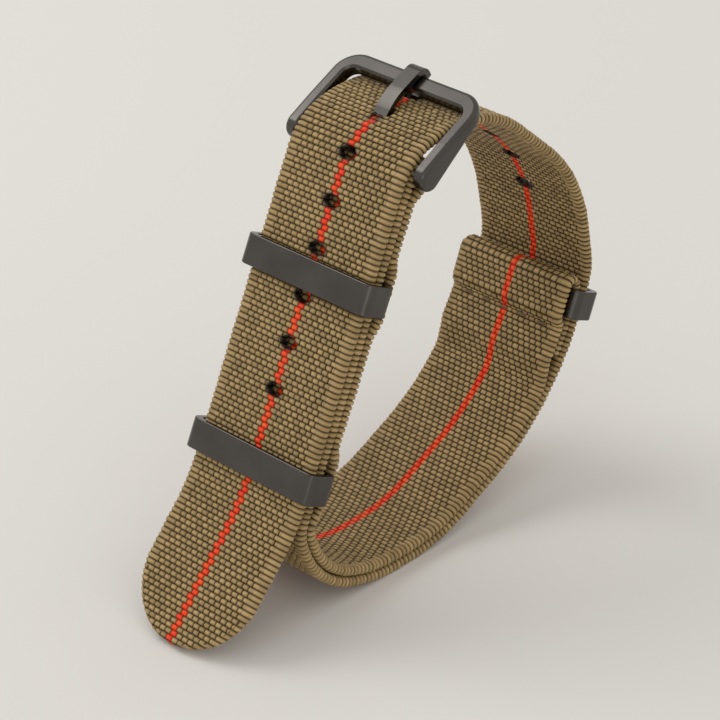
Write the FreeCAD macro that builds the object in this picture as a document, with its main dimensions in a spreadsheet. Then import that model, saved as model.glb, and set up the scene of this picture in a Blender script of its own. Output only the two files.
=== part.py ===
import FreeCAD, Part
import math
import os

from FreeCAD import Placement, Rotation, Vector

# A woven two-piece pull-through watch strap, closed as if worn and lying on its loop.
# The frame: +X across the strap, +Y from the tail to the back of the wrist loop, +Z up,
# the origin on the rest plane under the middle of the strap.

SIZES = [
    # the webbing
    ("strap_width", 20.0),
    ("strap_thickness", 1.3),
    ("layer_gap", 0.3),
    # the wrist loop, measured on the middle of the outer layer
    ("loop_depth", 58.6),
    ("loop_height", 65.0),
    ("front_lean", 65.0),
    ("tail_flare", 17.0),
    # the row of punched holes
    ("hole_diameter", 2.2),
    ("hole_pitch", 6.5),
    # the metal bands: two keepers and the end ring
    ("band_width", 4.2),
    ("band_wall", 1.0),
    ("band_side_gap", 0.4),
    ("band_face_gap", 0.1),
    ("keeper_play", 0.7),
    # the buckle
    ("frame_side_gap", 0.4),
    ("frame_reach", 9.95),
    ("frame_arm", 1.9),
    ("frame_bar", 2.45),
    ("frame_depth", 1.6),
    ("frame_tilt", 29.0),
    ("tang_width", 2.3),
    ("tang_thickness", 0.8),
    # the spring bar
    ("spring_bar_diameter", 1.5),
    ("pin_diameter", 0.7),
    ("pin_gap", 0.05),
    ("spring_wire", 0.2),
    # the sewing
    ("thread", 0.4),
    ("stitch_step", 3.4),
    ("stitch_length", 1.4),
]

doc = FreeCAD.newDocument("WatchStrap")
sheet = doc.addObject("Spreadsheet::Sheet", "Sizes")
for row, (name, value) in enumerate(SIZES, start=1):
    sheet.set("A%d" % row, name)
    sheet.set("B%d" % row, str(value))
    sheet.setAlias("B%d" % row, name)
doc.recompute()


def size(name):
    return float(sheet.get(name))


WIDTH = size("strap_width")
THICK = size("strap_thickness")
GAP = size("layer_gap")
WALL = size("band_wall")
BAND = size("band_width")
BAR_RADIUS = size("spring_bar_diameter") / 2
# spacing of two layers that lie together, and of two layers with a metal band between
CLOSE = THICK + GAP
APART = THICK + WALL + 2 * size("band_face_gap")


# a length too short to matter, and how much of a run between two bends they may take up
SHORT = 1e-6
MOST_OF_RUN = 0.995


# Paths in the side view: lists of straight runs and bends, tangent to each other

class Straight:
    def __init__(self, start, end):
        self.start = start
        self.end = end

    def length(self):
        return (self.end - self.start).Length

    def place(self, distance):
        along = self.end - self.start
        along.normalize()
        return self.start + along * distance, along

    def piece(self, first, last):
        return Straight(self.place(first)[0], self.place(last)[0])

    def shifted(self, shift):
        left = left_of(self.place(0)[1])
        return Straight(self.start + left * shift, self.end + left * shift)

    def reverse(self):
        return Straight(self.end, self.start)

    def curve(self):
        return Part.LineSegment(self.start, self.end)


class Bend:
    # sweep is positive for a turn to the left
    def __init__(self, centre, radius, angle, sweep):
        self.centre = centre
        self.radius = radius
        self.angle = angle
        self.sweep = sweep

    def length(self):
        return self.radius * abs(self.sweep)

    def place(self, distance):
        side = math.copysign(1, self.sweep)
        angle = self.angle + side * distance / self.radius
        spoke = Vector(math.cos(angle), math.sin(angle), 0)
        return self.centre + spoke * self.radius, left_of(spoke) * side

    def piece(self, first, last):
        side = math.copysign(1, self.sweep)
        angle = self.angle + side * first / self.radius
        return Bend(self.centre, self.radius, angle, side * (last - first) / self.radius)

    def shifted(self, shift):
        side = math.copysign(1, self.sweep)
        return Bend(self.centre, self.radius - side * shift, self.angle, self.sweep)

    def reverse(self):
        return Bend(self.centre, self.radius, self.angle + self.sweep, -self.sweep)

    def curve(self):
        circle = Part.Circle(self.centre, Vector(0, 0, 1), self.radius)
        ends = sorted([self.angle, self.angle + self.sweep])
        return Part.ArcOfCircle(circle, ends[0], ends[1])


def left_of(direction):
    return Vector(-direction.y, direction.x, 0)


def turn_between(before, point, after):
    way_in = (point - before).normalize()
    way_out = (after - point).normalize()
    sweep = math.atan2(way_in.cross(way_out).z, way_in.dot(way_out))
    return way_in, way_out, sweep


def fitted_radii(corners):
    # the corners' radii, each made smaller where two bends would meet on one run
    setbacks = [0]
    turns = [0]
    for (before, _), (point, radius), (after, _) in zip(corners, corners[1:], corners[2:]):
        sweep = turn_between(before, point, after)[2]
        turns.append(math.tan(abs(sweep) / 2))
        setbacks.append(radius * turns[-1])
    setbacks.append(0)
    shares = []
    for number in range(len(corners) - 1):
        run = (corners[number + 1][0] - corners[number][0]).Length
        taken = setbacks[number] + setbacks[number + 1]
        shares.append(min(1, MOST_OF_RUN * run / max(taken, SHORT)))
    radii = []
    for number in range(1, len(corners) - 1):
        radii.append(corners[number][1] * min(shares[number - 1], shares[number]))
    return radii


def rounded(corners):
    # a path through corners given as (point, radius); the first and last are its ends
    path = []
    here = corners[0][0]
    radii = fitted_radii(corners)
    for (before, _), (point, _), (after, _), radius in zip(corners, corners[1:], corners[2:], radii):
        way_in, way_out, sweep = turn_between(before, point, after)
        setback = radius * math.tan(abs(sweep) / 2)
        start = point - way_in * setback
        path.append(Straight(here, start))
        centre = start + left_of(way_in) * math.copysign(radius, sweep)
        spoke = start - centre
        path.append(Bend(centre, radius, math.atan2(spoke.y, spoke.x), sweep))
        here = point + way_out * setback
    path.append(Straight(here, corners[-1][0]))
    return path


def path_length(path):
    return sum(run.length() for run in path)


def place_on(path, station):
    for run in path[:-1]:
        if station <= run.length():
            return run.place(station)
        station -= run.length()
    return path[-1].place(station)


def part_of(path, first, last):
    pieces = []
    passed = 0
    for run in path:
        low = max(first - passed, 0)
        high = min(last - passed, run.length())
        if high - low > SHORT:
            pieces.append(run.piece(low, high))
        passed += run.length()
    return pieces


def beside(path, shift):
    return [run.shifted(shift) for run in path]


def backwards(path):
    return [run.reverse() for run in reversed(path)]


def crossing(path_before, path_after, radius):
    # an S between the end of one path and the start of the next
    start, way_in = place_on(path_before, path_length(path_before))
    end, way_out = place_on(path_after, 0)
    quarter = (end - start).Length / 4
    slope = end - way_out * quarter - start - way_in * quarter
    turn = way_in.getAngle(slope)
    radius = min(radius, 0.9 * quarter / math.tan(turn / 2))
    corners = [(start, 0), (start + way_in * quarter, radius), (end - way_out * quarter, radius), (end, 0)]
    return rounded(corners)


def layered(path, runs, radius):
    # a path that lies beside another one: runs are (first station, last station, shift)
    result = []
    for first, last, shift in runs:
        run = beside(part_of(path, first, last), shift)
        if result:
            result = result + crossing(result, run, radius)
        result = result + run
    return result


def band_outline(path, thickness):
    left = beside(path, thickness / 2)
    right = beside(path, -thickness / 2)
    ends = []
    for station in (0, path_length(path)):
        point, along = place_on(path, station)
        half = left_of(along) * (thickness / 2)
        ends.append(Part.LineSegment(point + half, point - half))
    return [run.curve() for run in left + right if run.length() > SHORT] + ends


# The wrist loop

LEAN = math.radians(size("front_lean"))
DEPTH = size("loop_depth")
HEIGHT = size("loop_height")
# the buckle's bar sits this far up the front from the bend at the front of the loop
FRONT_RUN = 0.77 * HEIGHT
# the slope of the webbing from the top of the loop to the buckle
TOP_SLOPE = math.radians(12.6)
UP_FRONT = Vector(math.cos(LEAN), math.sin(LEAN), 0)
INWARD = Vector(math.sin(LEAN), -math.cos(LEAN), 0)
# stations from the buckle's bar down the front to the middles of the two keepers
UPPER_KEEPER = 17.0
LOWER_KEEPER = 43.0
TAIL_CLEAR = 6.0


def loop_point(across, up):
    return Vector(across * DEPTH, max(up * HEIGHT, THICK / 2), 0)


def meeting(point, along, other, other_along):
    # where two lines cross
    gap = other - point
    return point + along * (gap.cross(other_along).z / along.cross(other_along).z)


def strap_loop():
    # the middle of the outer layer, from the bar down, round the wrist and down the tail
    knee = loop_point(0, 0.22)
    bar_side = knee + UP_FRONT * FRONT_RUN
    top = loop_point(0.594, 1.0)
    tail_side = bar_side - INWARD * CLOSE
    rising = Vector(math.cos(TOP_SLOPE), math.sin(TOP_SLOPE), 0)
    top_front = meeting(tail_side, UP_FRONT, top, rising)
    flare = tail_side - UP_FRONT * (LOWER_KEEPER + TAIL_CLEAR)
    slope = LEAN - math.radians(size("tail_flare"))
    down_tail = Vector(-math.cos(slope), -math.sin(slope), 0)
    tip_height = THICK / 2 * math.cos(slope)
    tip = flare + down_tail * ((flare.y - tip_height) / math.sin(slope))
    # the corners' radii are shares of the loop's height
    corners = [
        (knee, 0.077),
        (loop_point(0.0575, 0.0734), 0.223),
        (loop_point(0.245, 0), 0.385),
        (loop_point(0.465, 0), 0.385),
        (loop_point(0.860, 0.176), 0.554),
        (loop_point(1.0, 0.478), 0.123),
        (loop_point(0.947, 0.724), 0.4),
        (top, 0.3),
        (top_front, 0.131),
        (flare, 0.462),
    ]
    bends = [(point, share * HEIGHT) for point, share in corners]
    return rounded([(bar_side, 0)] + bends + [(tip, 0)])


LOOP = strap_loop()
TIP = path_length(LOOP)
# the end ring sits on the straight run after this many corners
CORNERS_BEFORE_RING = 5
RING = path_length(LOOP[:2 * CORNERS_BEFORE_RING]) + LOOP[2 * CORNERS_BEFORE_RING].length() / 2


def strap_place(station, shift):
    # a place on the strap: local X across it, local Y along it, local Z towards the wrist
    point, along = place_on(LOOP, station)
    left = left_of(along)
    at = point + left * shift
    rotation = Rotation(
        Vector(1, 0, 0), Vector(0, along.x, along.y), Vector(0, left.x, left.y), "XYZ")
    return Placement(Vector(0, at.x, at.y), rotation)


# Building blocks

def new_body(name):
    body = doc.addObject("PartDesign::Body", name)
    body.Label = name
    return body


def origin_part(body, role):
    return next(part for part in body.Origin.OriginFeatures if part.Role == role)


def add_sketch(body, role, name, curves):
    sketch = body.newObject("Sketcher::SketchObject", name)
    sketch.AttachmentSupport = [(origin_part(body, role), "")]
    sketch.MapMode = "FlatFace"
    sketch.addGeometry(curves, False)
    return sketch


def bind(feature, **expressions):
    for name, expression in expressions.items():
        feature.setExpression(name, expression)


def add_pad(body, sketch, name, length):
    pad = body.newObject("PartDesign::Pad", name)
    pad.Profile = sketch
    pad.SideType = "Symmetric"
    bind(pad, Length=length)
    doc.recompute()
    return pad


def add_pocket(body, sketch, name, length):
    before = body.Shape.Volume
    pocket = body.newObject("PartDesign::Pocket", name)
    pocket.Profile = sketch
    pocket.SideType = "Symmetric"
    bind(pocket, Length=length)
    doc.recompute()
    check_cut(pocket, before)
    return pocket


def check_cut(feature, before):
    if not feature.Shape.Volume < before - 1e-6:
        raise RuntimeError(feature.Name + " cuts nothing")


def add_cylinder(body, kind, name, place, radius, height):
    cylinder = body.newObject("PartDesign::" + kind + "Cylinder", name)
    cylinder.Placement = place
    bind(cylinder, Radius=radius, Height=height)
    doc.recompute()
    return cylinder


def add_box(body, kind, name, place, across, along, up):
    box = body.newObject("PartDesign::" + kind + "Box", name)
    box.Placement = place
    bind(box, Length=across, Width=along, Height=up)
    doc.recompute()
    return box


def edges_where(feature, test):
    names = []
    for number, edge in enumerate(feature.Shape.Edges, start=1):
        middle = edge.valueAt((edge.FirstParameter + edge.LastParameter) / 2)
        if test(edge, middle):
            names.append("Edge%d" % number)
    return names


def add_fillet(body, base, name, edges, radius):
    fillet = body.newObject("PartDesign::Fillet", name)
    fillet.Base = (base, edges)
    bind(fillet, Radius=radius)
    doc.recompute()
    return fillet


def add_chamfer(body, base, name, edges, length):
    chamfer = body.newObject("PartDesign::Chamfer", name)
    chamfer.Base = (base, edges)
    bind(chamfer, Size=length)
    doc.recompute()
    return chamfer


def polygon(points):
    corners = [Vector(a, b, 0) for a, b in points]
    return [Part.LineSegment(p, q) for p, q in zip(corners, corners[1:] + corners[:1])]


def circle(radius):
    return [Part.Circle(Vector(0, 0, 0), Vector(0, 0, 1), radius)]


def moved(place, across, along, up):
    return place.multiply(Placement(Vector(across, along, up), Rotation()))


# Sewing: each row is five short stitches right through two layers

STITCHES = 5
STITCH_STEP = size("stitch_step")
STITCH_LENGTH = size("stitch_length")
STITCH_BAR = 0.24
STITCH_SUNK = 0.12
THREAD_ROOM = 0.03
# how far down the front each row lies, and for each row the shift of its middle and its depth
ROWS = {
    "buckle_fold_stitches": (8.4, CLOSE / 2, CLOSE + THICK),
    "upper_pocket_stitches": (25.0, CLOSE / 2, CLOSE + THICK),
    "lower_pocket_stitches": (34.9, CLOSE / 2, CLOSE + THICK),
    "short_strap_stitches": (49.7, CLOSE / 2, CLOSE + THICK),
    "ring_fold_stitches": (RING - BAND, CLOSE * 1.5, CLOSE + THICK),
}


def stitch_outline(middle, reach, room):
    # one stitch seen along the strap: a leg through the layers and a bar on each face
    leg = size("thread") / 2 + room
    bar = STITCH_LENGTH / 2 + room
    end = reach + room
    foot = reach - STITCH_BAR - room
    side = [(leg, -foot), (bar, -foot), (bar, -end), (-bar, -end), (-bar, -foot), (-leg, -foot)]
    across = [(middle + x, z) for x, z in side]
    back = [(middle - x, -z) for x, z in side]
    return polygon(across + back)


def add_stitches(body, row, room, add):
    station, shift, depth = ROWS[row]
    reach = depth / 2 + STITCH_BAR - STITCH_SUNK
    outlines = []
    for number in range(STITCHES):
        middle = (number - (STITCHES - 1) / 2) * STITCH_STEP
        outlines = outlines + stitch_outline(middle, reach, room)
    sketch = add_sketch(body, "XY_Plane", row + "_outline", outlines)
    upright = Placement(Vector(), Rotation(Vector(1, 0, 0), 90))
    sketch.AttachmentOffset = strap_place(station, shift).multiply(upright)
    return add(body, sketch, row + "_cut", "Sizes.thread + %g" % (2 * room))


def stitch_row(row):
    body = new_body(row)
    add_stitches(body, row, 0, add_pad)
    return body


# The webbing

FOLD_ROOM = 0.05
FOLD_RADIUS = BAR_RADIUS + FOLD_ROOM + THICK / 2
# the outer layer steps in this far to meet the fold, and leaves room for the tail over it
FOLD_INSET = 0.43
# a pocket is this long each way from the middle of its keeper, and a layer steps over this length
PLAY = BAND / 2 + size("keeper_play")
STEP = 3.0
# the layers leave the bar straight for this far, and then step together over this length
FOLD_LEAD = 0.6
FOLD_STEP = 3.8
# half the gap between the end of the folded-in webbing and the short strap's end
END_GAP = 0.2
# the room beside the tang, and the slot that it comes up through: its length and the room in it
TANG_SIDE = 0.15
SLOT_LENGTH = 5.5
SLOT_ROOM = 0.25
# the least flat left at the middle of the round tip
TIP_FLAT = 0.05
# the turned-back end of the short strap: where it starts to step, how far, and where it ends
FLAP_STEP_START = 14.5
FLAP_END = 8.5
RING_STEP_START = 3.9
RING_STEP_END = 2.0
RING_FOLD = BAND / 2 - 0.1
# how sharply a layer may step from one spacing to the next
FLAP_CURVE = 1.5
RING_CURVE = 1.0


HOLES_EACH_WAY = 6


def add_punched_holes(body):
    # the hole that holds the tang, six towards the tip and six towards the back
    numbers = [number for number in range(-HOLES_EACH_WAY, HOLES_EACH_WAY + 1) if number != 0]
    for number in numbers:
        station = TANG_HOLE + number * size("hole_pitch")
        place = moved(strap_place(station, 0), 0, 0, -THICK)
        name = "punched_hole_%d" % (number + HOLES_EACH_WAY + 1)
        before = body.Shape.Volume
        hole = add_cylinder(
            body, "Subtractive", name, place, "Sizes.hole_diameter / 2", "Sizes.strap_thickness * 2")
        check_cut(hole, before)


def main_strap():
    body = new_body("main_strap")
    flap = layered(LOOP, [
        (0.0, FOLD_LEAD, FOLD_INSET + 2 * FOLD_RADIUS),
        (FOLD_LEAD + FOLD_STEP, UPPER_KEEPER - PLAY - STEP, CLOSE),
        (UPPER_KEEPER - PLAY, UPPER_KEEPER + PLAY, APART),
        (UPPER_KEEPER + PLAY + STEP, LOWER_KEEPER - PLAY - STEP, CLOSE),
        (LOWER_KEEPER - PLAY, LOWER_KEEPER - END_GAP, APART),
    ], FLAP_CURVE)
    bar, down = place_on(LOOP, 0)
    spoke = left_of(down)
    centre = bar + spoke * (FOLD_INSET + FOLD_RADIUS)
    fold = [Bend(centre, FOLD_RADIUS, math.atan2(spoke.y, spoke.x), math.pi)]
    outer = layered(LOOP, [
        (0.0, FOLD_LEAD, FOLD_INSET),
        (FOLD_LEAD + FOLD_STEP, TIP, 0),
    ], FLAP_CURVE)
    path = backwards(flap) + fold + outer
    sketch = add_sketch(body, "YZ_Plane", "webbing_side_view", band_outline(path, THICK))
    pad = add_pad(body, sketch, "webbing", "Sizes.strap_width")
    tip, along = place_on(LOOP, TIP)

    def at_tip(edge, middle):
        across = Vector(0, -along.y, along.x)
        direction = edge.tangentAt(edge.FirstParameter)
        near = (middle - Vector(middle.x, tip.x, tip.y)).Length < THICK
        return near and abs(direction.dot(across)) > 0.99

    rounding = add_fillet(
        body, pad, "round_tip", edges_where(pad, at_tip), "Sizes.strap_width / 2 - %g" % TIP_FLAT)
    add_punched_holes(body)
    before = body.Shape.Volume
    slot = strap_place(0, FOLD_INSET + FOLD_RADIUS)
    beside_tang = -size("tang_width") / 2 - TANG_SIDE
    slot_width = "Sizes.tang_width + %g" % (2 * TANG_SIDE)
    across = Placement(Vector(beside_tang, 0, 0), Rotation(Vector(0, 1, 0), 90))
    slot = Placement(slot.Base, Rotation()).multiply(across)
    fold_slot = add_cylinder(
        body, "Subtractive", "tang_slot_in_fold", slot,
        "%g" % (FOLD_RADIUS + THICK / 2 + FOLD_ROOM), slot_width)
    check_cut(fold_slot, before)
    before = body.Shape.Volume
    # the slot follows the straight run where the tang rises
    rising, way = tang_path()[2].place(0)
    rise = Rotation(Vector(1, 0, 0), math.degrees(math.atan2(way.y, way.x)))
    along_tang = FRAME_PLACE.multiply(Placement(Vector(0, rising.x, rising.y), rise))
    tang_hole = add_box(
        body, "Subtractive", "tang_hole",
        moved(along_tang, beside_tang, 0, -TANG / 2 - SLOT_ROOM),
        slot_width, "%g" % SLOT_LENGTH, "Sizes.tang_thickness + %g" % (2 * SLOT_ROOM))
    check_cut(tang_hole, before)
    for row in ("buckle_fold_stitches", "upper_pocket_stitches", "lower_pocket_stitches",
                "short_strap_stitches"):
        add_stitches(body, row, THREAD_ROOM, add_pocket)
    return body


def short_strap():
    body = new_body("short_strap")
    limb = layered(LOOP, [
        (LOWER_KEEPER + END_GAP, LOWER_KEEPER + PLAY, APART),
        (LOWER_KEEPER + PLAY + STEP, RING - FLAP_STEP_START, CLOSE),
        (RING - FLAP_END, RING - RING_STEP_START, 2 * CLOSE),
        (RING - RING_STEP_END, RING + RING_FOLD, CLOSE + APART),
    ], RING_CURVE)
    turn_at, along = place_on(LOOP, RING + RING_FOLD)
    centre = turn_at + left_of(along) * (CLOSE + APART / 2)
    spoke = left_of(along)
    fold = [Bend(centre, APART / 2, math.atan2(spoke.y, spoke.x), -math.pi)]
    flap = backwards(beside(part_of(LOOP, RING - FLAP_END, RING + RING_FOLD), CLOSE))
    sketch = add_sketch(
        body, "YZ_Plane", "webbing_side_view", band_outline(limb + fold + flap, THICK))
    add_pad(body, sketch, "webbing", "Sizes.strap_width")
    for row in ("short_strap_stitches", "ring_fold_stitches"):
        add_stitches(body, row, THREAD_ROOM, add_pocket)
    return body


# The metal bands

BAND_CORNER = 1.3
TUNNEL_CORNER = 0.5
BAND_RIM = 0.18
# how far a cutting block stands out past what it cuts
PAST = 1.0


def metal_band(name, place):
    body = new_body(name)
    outer_across = "(Sizes.strap_width + 2 * Sizes.band_side_gap + 2 * Sizes.band_wall)"
    inner_up = "(2 * Sizes.strap_thickness + Sizes.layer_gap + 2 * Sizes.band_face_gap)"
    block = body.newObject("PartDesign::AdditiveBox", name + "_block")
    bind(block, Length=outer_across, Width="Sizes.band_width", Height=inner_up + " + 2 * Sizes.band_wall")
    across = WIDTH + 2 * size("band_side_gap") + 2 * WALL
    up = 2 * THICK + GAP + 2 * size("band_face_gap") + 2 * WALL
    block.Placement = Placement(Vector(-across / 2, -BAND / 2, -up / 2), Rotation())
    doc.recompute()

    def lengthwise(edge, middle):
        return abs(middle.y) < 1e-6

    outside = add_fillet(body, block, name + "_corners", edges_where(block, lengthwise), "%g" % BAND_CORNER)
    before = body.Shape.Volume
    tunnel = add_box(
        body, "Subtractive", name + "_tunnel",
        Placement(Vector(-across / 2 + WALL, -BAND / 2 - PAST, -up / 2 + WALL), Rotation()),
        "Sizes.strap_width + 2 * Sizes.band_side_gap", "Sizes.band_width + %g" % (2 * PAST), inner_up)
    check_cut(tunnel, before)

    def inside_corner(edge, middle):
        inner = abs(abs(middle.x) - across / 2 + WALL) < 1e-4
        return abs(middle.y) < 1e-6 and inner and abs(middle.z) > up / 2 - WALL - 1e-3

    rounded_tunnel = add_fillet(
        body, tunnel, name + "_tunnel_corners", edges_where(tunnel, inside_corner),
        "%g" % TUNNEL_CORNER)

    def rim(edge, middle):
        return abs(abs(middle.y) - BAND / 2) < 1e-6

    add_fillet(body, rounded_tunnel, name + "_rims", edges_where(rounded_tunnel, rim),
               "%g" % BAND_RIM)
    body.Placement = place
    return body


# The buckle

OPENING = WIDTH + 2 * size("frame_side_gap")
REACH = size("frame_reach")
ARM = size("frame_arm")
FRAME_BAR = size("frame_bar")
FRAME_DEPTH = size("frame_depth")
# the arms end in round lugs: their radius, and how far their centre lies behind and above the pins
LUG_RADIUS = 1.85
LUG_BACK = 0.55
LUG_RISE = 0.95
# the bar's face stands this far above the pins, and the arms slim down towards it
FACE_RISE = 2.4
WAIST_FRONT = 3.7
WAIST_BACK = 3.3
WAIST_FLOOR = -0.25
LUG_SLOPE = 0.05
INNER_CORNER = 1.6
OUTER_CORNER = 3.6
INNER_BEVEL = 0.3
SOFT_EDGE = 0.6
# the blind holes for the spring bar's pins
HOLE_BACK = 0.2
HOLE_DEPTH = 1.35
TANG = size("tang_thickness")
TANG_ROOM = 0.08
# the tang leaves its root level, rises through the tail to its peak and hooks over the bar
TANG_GAP = 0.25
TANG_LEAD = 1.0
TANG_PEAK = 0.7
TANG_ARCH = 0.35
TANG_HOOK = 1.1
bar_centre = strap_place(0, FOLD_INSET + FOLD_RADIUS).Base
FRAME_PLACE = Placement(bar_centre, Rotation(Vector(1, 0, 0), size("frame_tilt")))


def buckle_frame():
    # local Y runs from the spring bar to the outer bar, local Z out of the frame's face
    body = new_body("buckle_frame")
    end = REACH + FRAME_BAR
    floor = FACE_RISE - FRAME_DEPTH
    lug_centre = Vector(-LUG_BACK, LUG_RISE, 0)
    lug_circle = Part.Circle(lug_centre, Vector(0, 0, 1), LUG_RADIUS)
    lug = Part.ArcOfCircle(lug_circle, math.pi / 2, 3 * math.pi / 2)
    corners = [
        (-LUG_BACK, LUG_RISE - LUG_RADIUS), (WAIST_BACK, WAIST_FLOOR), (REACH, floor), (end, floor),
        (end, FACE_RISE), (WAIST_FRONT, LUG_RISE + LUG_RADIUS - LUG_SLOPE),
        (-LUG_BACK, LUG_RISE + LUG_RADIUS)]
    points = [Vector(y, z, 0) for y, z in corners]
    sides = [Part.LineSegment(p, q) for p, q in zip(points, points[1:])]
    sketch = add_sketch(body, "YZ_Plane", "frame_side_view", [lug] + sides)
    pad = add_pad(
        body, sketch, "frame_blank", "Sizes.strap_width + 2 * Sizes.frame_side_gap + 2 * Sizes.frame_arm")
    inner = OPENING / 2
    corner = INNER_CORNER
    left_circle = Part.Circle(Vector(-inner + corner, REACH - corner, 0), Vector(0, 0, 1), corner)
    right_circle = Part.Circle(Vector(inner - corner, REACH - corner, 0), Vector(0, 0, 1), corner)
    arc_left = Part.ArcOfCircle(left_circle, math.pi / 2, math.pi)
    arc_right = Part.ArcOfCircle(right_circle, 0, math.pi / 2)
    low = -LUG_BACK - 2 * LUG_RADIUS
    opening = [
        Part.LineSegment(Vector(-inner, low, 0), Vector(inner, low, 0)),
        Part.LineSegment(Vector(inner, low, 0), Vector(inner, REACH - corner, 0)),
        arc_right,
        Part.LineSegment(Vector(inner - corner, REACH, 0), Vector(-inner + corner, REACH, 0)),
        arc_left,
        Part.LineSegment(Vector(-inner, REACH - corner, 0), Vector(-inner, low, 0)),
    ]
    sketch = add_sketch(body, "XY_Plane", "opening_outline", opening)
    pocket = add_pocket(body, sketch, "opening", "%g" % (4 * (LUG_RISE + LUG_RADIUS)))

    def outer_corner(edge, middle):
        upright = abs(edge.tangentAt(edge.FirstParameter).z) > 0.99
        return upright and middle.y > end - 1e-3 and abs(middle.x) > inner

    corners = add_fillet(body, pocket, "outer_corners", edges_where(pocket, outer_corner),
                         "%g" % OUTER_CORNER)
    for name, side in (("left", -1), ("right", 1)):
        turn = Rotation(Vector(0, 1, 0), 90 * side)
        place = Placement(Vector(side * (inner - HOLE_BACK), 0, 0), turn)
        before = body.Shape.Volume
        hole = add_cylinder(
            body, "Subtractive", name + "_pivot_hole", place,
            "Sizes.pin_diameter / 2 + Sizes.pin_gap", "%g" % HOLE_DEPTH)
        check_cut(hole, before)
        corners = hole

    def inner_front(edge, middle):
        on_opening = abs(abs(middle.x) - inner) < 1e-3 or abs(middle.y - REACH) < 1e-3
        on_arc = middle.y > REACH - corner and abs(middle.x) < inner and middle.y < REACH
        flat = abs(edge.tangentAt(edge.FirstParameter).z) < 0.5
        on_face = middle.z > FACE_RISE and middle.y > WAIST_FRONT
        return flat and on_face and (on_opening or on_arc)

    bevel = add_chamfer(body, corners, "inner_bevel", edges_where(corners, inner_front),
                        "%g" % INNER_BEVEL)

    def outer_rim(edge, middle):
        across = abs(middle.x) - (inner + ARM)
        on_side = abs(across) < 1e-3
        on_end = abs(middle.y - end) < 1e-3
        spoke = Vector(across + OUTER_CORNER, middle.y - end + OUTER_CORNER, 0)
        on_corner = min(spoke.x, spoke.y) > 0 and abs(spoke.Length - OUTER_CORNER) < 1e-3
        upright = abs(edge.tangentAt(edge.FirstParameter).z) > 0.99 and middle.y > 0
        return (on_side or on_end or on_corner) and not upright

    add_fillet(body, bevel, "soft_outer_edges", edges_where(bevel, outer_rim), "%g" % SOFT_EDGE)
    body.Placement = FRAME_PLACE
    return body


def tang_path():
    ring = BAR_RADIUS + TANG_ROOM + TANG / 2
    over = FACE_RISE + TANG_GAP + TANG / 2
    past = REACH + FRAME_BAR + TANG_GAP + TANG / 2
    return rounded([
        (Vector(0, ring, 0), 0),
        (Vector(TANG_LEAD, ring, 0), 4.0),
        (Vector(REACH * TANG_PEAK, over + TANG_ARCH, 0), 8.0),
        (Vector(past, over, 0), TANG_HOOK),
        (Vector(past, FACE_RISE - TANG_HOOK, 0), 0),
    ])


def buckle_tang():
    body = new_body("buckle_tang")
    root = BAR_RADIUS + TANG_ROOM + TANG
    sketch = add_sketch(body, "YZ_Plane", "root_side_view", circle(root))
    add_pad(body, sketch, "root", "Sizes.tang_width")
    sketch = add_sketch(body, "YZ_Plane", "strip_side_view", band_outline(tang_path(), TANG))
    add_pad(body, sketch, "strip", "Sizes.tang_width")
    sketch = add_sketch(body, "YZ_Plane", "bar_hole_side_view", circle(BAR_RADIUS + TANG_ROOM))
    add_pocket(body, sketch, "bar_hole", "2 * Sizes.tang_width")
    body.Placement = FRAME_PLACE
    return body


# The spring bar: a tube with crimped ends, two sprung pins and the coil between them

TUBE_HALF = OPENING / 2 - 0.3
TUBE_WALL = 0.2
TUBE_CHAMFER = 0.2
CRIMP = 0.4
BORE = BAR_RADIUS - TUBE_WALL
PIN = size("pin_diameter") / 2
PIN_GAP = size("pin_gap")
PIN_CHAMFER = 0.15
HEAD = BORE - PIN_GAP
HEAD_INNER = TUBE_HALF - 3.3
PIN_TIP = OPENING / 2 + 1.0
HEAD_ROOM = 0.08
SPRING_TURNS = 14
# the coil's wire has this many flats
WIRE_FLATS = 8


def turned(name, half_section):
    body = new_body(name)
    sketch = add_sketch(body, "XY_Plane", name + "_half_section", polygon(half_section))
    revolution = body.newObject("PartDesign::Revolution", name + "_turned")
    revolution.Profile = sketch
    revolution.ReferenceAxis = (origin_part(body, "X_Axis"), [""])
    revolution.Angle = 360
    doc.recompute()
    body.Placement = FRAME_PLACE
    return body


def spring_bar_tube():
    neck = PIN + PIN_GAP
    inside = TUBE_HALF - CRIMP
    shoulder = TUBE_HALF - TUBE_CHAMFER
    edge = BAR_RADIUS - TUBE_CHAMFER / 2
    return turned("spring_bar_tube", [
        (-TUBE_HALF, neck), (-TUBE_HALF, edge), (-shoulder, BAR_RADIUS), (shoulder, BAR_RADIUS),
        (TUBE_HALF, edge), (TUBE_HALF, neck), (inside, neck), (inside, BORE), (-inside, BORE),
        (-inside, neck)])


def spring_bar_pin(name, side):
    shoulder = TUBE_HALF - CRIMP - HEAD_ROOM
    return turned(name, [
        (side * HEAD_INNER, 0), (side * HEAD_INNER, HEAD), (side * shoulder, HEAD),
        (side * shoulder, PIN), (side * (PIN_TIP - PIN_CHAMFER), PIN),
        (side * PIN_TIP, PIN - PIN_CHAMFER), (side * PIN_TIP, 0)])


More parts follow.
